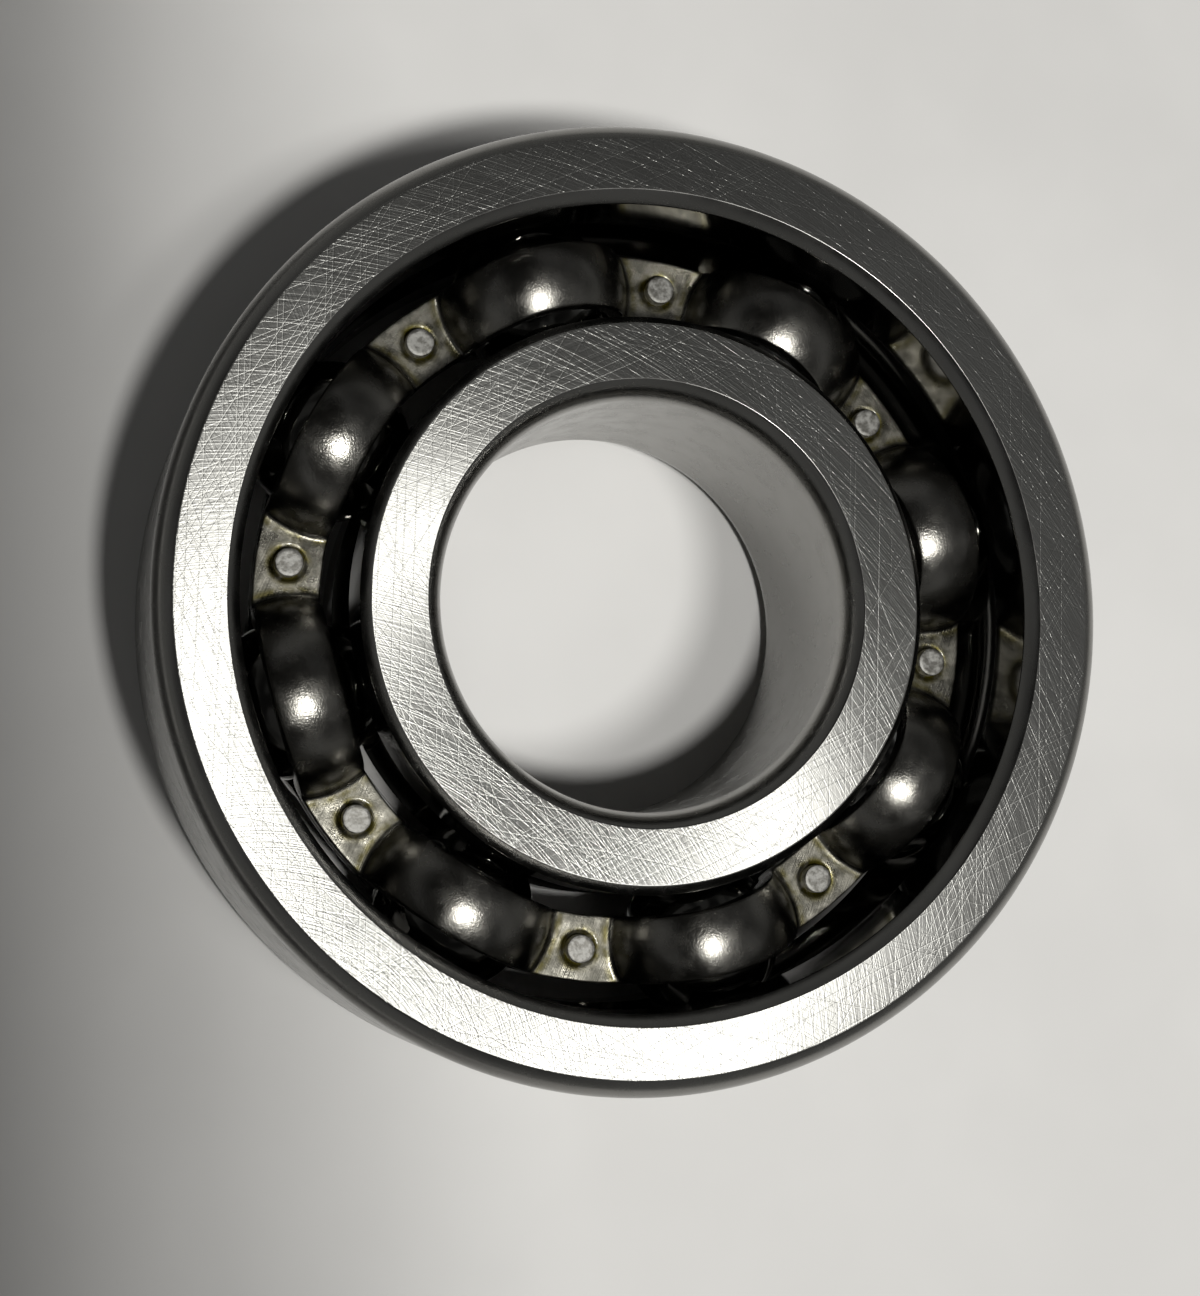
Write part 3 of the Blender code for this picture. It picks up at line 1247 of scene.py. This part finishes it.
    def pierced(self, mesh: bpy.types.Mesh, name: str) -> bpy.types.Mesh:
        """Cuts the rivet holes, which the heads cover, through the lands.

        Args:
            mesh: The whole strip.
            name: The name of the new mesh.

        Returns:
            The pierced mesh.
        """
        reach = 2 * self.sheet
        pin = TurnedProfile(
            (
                Line(Zone.FACE, (0.0, reach), (self.hole_r, reach), 1),
                Line(Zone.FACE, (self.hole_r, reach), (self.hole_r, -reach), 1),
                Line(Zone.FACE, (self.hole_r, -reach), (0.0, -reach), 1),
            ),
            edge=0.0,
            closed=False,
        ).surface(32)
        turns = (np.arange(self.sizes.ball_count) + 0.5) * FULL_TURN / self.sizes.ball_count
        places = self.sizes.pitch_r * np.stack([np.cos(turns), np.sin(turns), 0 * turns], axis=1)
        points = (places[:, None, :] + pin.points).reshape(-1, 3)
        shift = np.arange(len(turns))[:, None, None] * len(pin.points)
        quads = (shift + pin.quads).reshape(-1, 4)
        pins = Surface(points, quads, np.zeros(len(quads))).mesh("rivet_hole_pins")
        cutter = bpy.data.objects.new("rivet_hole_pins", pins)
        strip = bpy.data.objects.new("uncut_strip", mesh)
        for thing in (strip, cutter):
            bpy.context.scene.collection.objects.link(thing)
        cut = strip.modifiers.new("rivet_holes", "BOOLEAN")
        cut.object = cutter
        cut.operation = "DIFFERENCE"
        cut.solver = "EXACT"
        graph = bpy.context.evaluated_depsgraph_get()
        cut_mesh = bpy.data.meshes.new_from_object(strip.evaluated_get(graph), depsgraph=graph)
        cut_mesh.name = name
        for thing in (strip, cutter):
            bpy.data.objects.remove(thing, do_unlink=True)
        return cut_mesh

    def build(self, finish: bpy.types.Material) -> bpy.types.Object:
        """Presses the half, pierces it and puts it in place of the CAD's half.

        Args:
            finish: The cage's material.

        Returns:
            The new object, which moves with the cage.
        """
        name = f"cage_{self.side.name.lower()}"
        mesh = self.pierced(self.surface().mesh(f"{name}_strip"), name)
        mesh.set_sharp_from_angle(angle=math.radians(50))
        return new_piece(name, mesh, [finish], "cage")


def smooth_step(low: float, high: float, value: np.ndarray) -> np.ndarray:
    """Rises from 0 at low to 1 at high, as 3 t^2 - 2 t^3, or falls where high is below low."""
    share = np.clip((value - low) / (high - low), 0.0, 1.0)
    return share * share * (3 - 2 * share)


# ------------------------------------------------------------------------------------------------ studio


@dataclass(frozen=True)
class Card:
    """A level black card that ends a lamp's light softly along its long edge.

    The long edge runs through a place, in a level direction, for some way back and forward of that place.
    """

    edge: tuple[float, float, float]
    along: tuple[float, float]
    width: float
    reach: tuple[float, float] = (-80.0, 100.0)

    def build(self, name: str) -> bpy.types.Object:
        """Lays the card as a flat grid that starts at the long edge and runs off towards -X.

        Args:
            name: The name of the card.

        Returns:
            The card, which the camera doesn't see.
        """
        along = Vector((*self.along, 0.0)).normalized()
        away = Vector((-along.y, along.x, 0.0))
        way, out = np.meshgrid(np.linspace(*self.reach, 3), np.linspace(0, self.width, 3), indexing="ij")
        points = np.array(self.edge) + way[..., None] * np.array(along) + out[..., None] * np.array(away)
        mesh = flat_sheet(points).mesh(name)
        mesh.materials.append(FlagCard().material())
        card = bpy.data.objects.new(name, mesh)
        card.visible_camera = False
        bpy.context.scene.collection.objects.link(card)
        return card


@dataclass(frozen=True)
class Lamp:
    """A flat lamp at a place in millimetres, aimed at another, with a beam of some width in degrees.

    A lamp with a card lights the table alone, and its card stands in no other lamp's way. One without a card
    lights the bearing alone.
    """

    name: str
    place: tuple[float, float, float]
    aim: tuple[float, float, float]
    width: float
    power: float
    colour: str = "#FFFEFB"
    beam: float = 150.0
    card: Optional[Card] = None

    def build(self, table: bpy.types.Object, passed: list[bpy.types.Object]) -> bpy.types.Object:
        """Hangs the lamp.

        Args:
            table: The table top.
            passed: The cards of the other lamps, which this one shines through.

        Returns:
            The lamp.
        """
        light = bpy.data.lights.new(self.name, "AREA")
        light.shape = "DISK"
        light.spread = math.radians(self.beam)
        light.size = self.width * MM
        light.energy = self.power
        light.color = linear_colour(self.colour)[:3]
        lamp = bpy.data.objects.new(self.name, light)
        lamp.location = Vector(self.place) * MM
        toward = Vector(self.aim) - Vector(self.place)
        lamp.rotation_euler = toward.to_track_quat("-Z", "Y").to_euler()
        bpy.context.scene.collection.objects.link(lamp)
        lit = bpy.data.collections.new(f"{self.name}_lights")
        lit.objects.link(table)
        lit.collection_objects[0].light_linking.link_state = "INCLUDE" if self.card else "EXCLUDE"
        lamp.light_linking.receiver_collection = lit
        through = bpy.data.collections.new(f"{self.name}_passes")
        for card in passed:
            through.objects.link(card)
        for entry in through.collection_objects:
            entry.light_linking.link_state = "EXCLUDE"
        lamp.light_linking.blocker_collection = through
        return lamp


@dataclass(frozen=True)
class Studio:
    """The table, the lamps, the dim room and the camera."""

    sizes: BearingSizes
    table_width: float = 4000.0
    table_squares: int = 8
    camera_place: tuple[float, float, float] = (-32.593, -3.773, 113.983)
    camera_aim: tuple[float, float, float] = (-1.160, -1.361, 0.0)
    camera_right: tuple[float, float, float] = (0.9330, -0.2571, 0.2518)
    lens: float = 65.14
    near_place: tuple[float, float, float] = (-9.5, -42.5, 185.5)
    near_aim: tuple[float, float, float] = (10.0, 30.0, -7.0)
    near_width: float = 20.0
    lamps: tuple[Lamp, ...] = (
        Lamp("bearing_lamp", near_place, near_aim, near_width, power=0.10),
        Lamp(
            "near_table_lamp",
            near_place,
            near_aim,
            near_width,
            power=0.125,
            card=Card(edge=(-18.6, -18.9, 95.0), along=(0.170, 0.985), width=34.0),
        ),
        Lamp(
            "far_table_lamp",
            place=(180.0, -330.0, 1000.0),
            aim=(0.0, 0.0, -7.0),
            width=210.0,
            power=3.2,
            card=Card(edge=(2.3, -22.0, 76.0), along=(0.097, 0.995), width=75.0),
        ),
    )
    ceiling_colours: tuple[str, str] = ("#323232", "#6A6A6A")
    wall_colour: str = "#727270"

    def table(self) -> bpy.types.Object:
        """The table top, a flat grid of squares that the bearing's lower faces stand on.

        Returns:
            The table top.
        """
        half = self.table_width / 2
        edge = np.linspace(-half, half, self.table_squares + 1)
        x, y = np.meshgrid(edge, edge, indexing="ij")
        mesh = flat_sheet(np.stack([x, y, np.full_like(x, -self.sizes.face_z)], axis=-1)).mesh("table_top")
        mesh.materials.append(TablePaper().material())
        table = bpy.data.objects.new("table_top", mesh)
        bpy.context.scene.collection.objects.link(table)
        return table

    def room(self) -> None:
        """Fills the room with a dim grey: a ceiling that changes from place to place, over paler walls."""
        world = bpy.data.worlds.new("room")
        world.use_nodes = True
        tree = world.node_tree
        back = tree.nodes["Background"]
        facing = add_node(tree, "ShaderNodeTexCoord").outputs["Generated"]
        noise = {"Vector": facing, "Scale": 2.6, "Detail": 1.0, "Roughness": 0.4}
        cloud = add_node(tree, "ShaderNodeTexNoise", noise).outputs["Fac"]
        patches = smooth_range(tree, cloud, (0.42, 0.60), (0.0, 1.0))
        height = add_node(tree, "ShaderNodeSeparateXYZ", {"Vector": facing}).outputs["Z"]
        low = smooth_range(tree, height, (0.62, 0.10), (0.0, 1.0))
        grey = mixed_colour(tree, low, mixed_colour(tree, patches, *self.ceiling_colours), self.wall_colour)
        tree.links.new(grey, back.inputs["Color"])
        bpy.context.scene.world = world

    def camera(self) -> bpy.types.Object:
        """Aims the camera and makes it the scene's own.

        Returns:
            The camera.
        """
        place, aim = Vector(self.camera_place), Vector(self.camera_aim)
        back = (place - aim).normalized()
        up = back.cross(Vector(self.camera_right)).normalized()
        right = up.cross(back)
        turn = Matrix((right, up, back)).transposed().to_4x4()
        lens = bpy.data.cameras.new("camera")
        lens.lens = self.lens
        lens.clip_start = 1.0 * MM
        lens.clip_end = 10_000.0 * MM
        camera = bpy.data.objects.new("camera", lens)
        camera.matrix_world = Matrix.Translation(place * MM) @ turn
        bpy.context.scene.collection.objects.link(camera)
        bpy.context.scene.camera = camera
        return camera

    def build(self) -> None:
        """Sets up everything round the bearing."""
        table = self.table()
        cards = {lamp.name: lamp.card.build(f"{lamp.name}_card") for lamp in self.lamps if lamp.card}
        self.room()
        self.camera()
        for lamp in self.lamps:
            lamp.build(table, [card for name, card in cards.items() if name != lamp.name])
        bpy.context.scene.view_settings.view_transform = "Standard"


def main() -> None:
    """Builds the bearing part by part, then the studio round it."""
    logging.basicConfig(level=logging.INFO, format="%(message)s")
    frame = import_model()
    sizes = BearingSizes.of_frame(frame)
    ring_finishes = RingFinishes().materials()
    OuterRing(sizes).build(ring_finishes)
    InnerRing(sizes).build(ring_finishes)
    cage_finish = PressedCageSteel().material()
    for side in Side:
        CageHalf(sizes, side).build(cage_finish)
    rivet_finish = ClenchedRivetSteel().material()
    ball_finish = LappedBallSteel().material()
    for number in range(1, sizes.ball_count + 1):
        Rivet(sizes, number).build(rivet_finish)
        Ball(sizes, number).build(ball_finish)
    Studio(sizes).build()


if __name__ == "__main__":
    main()
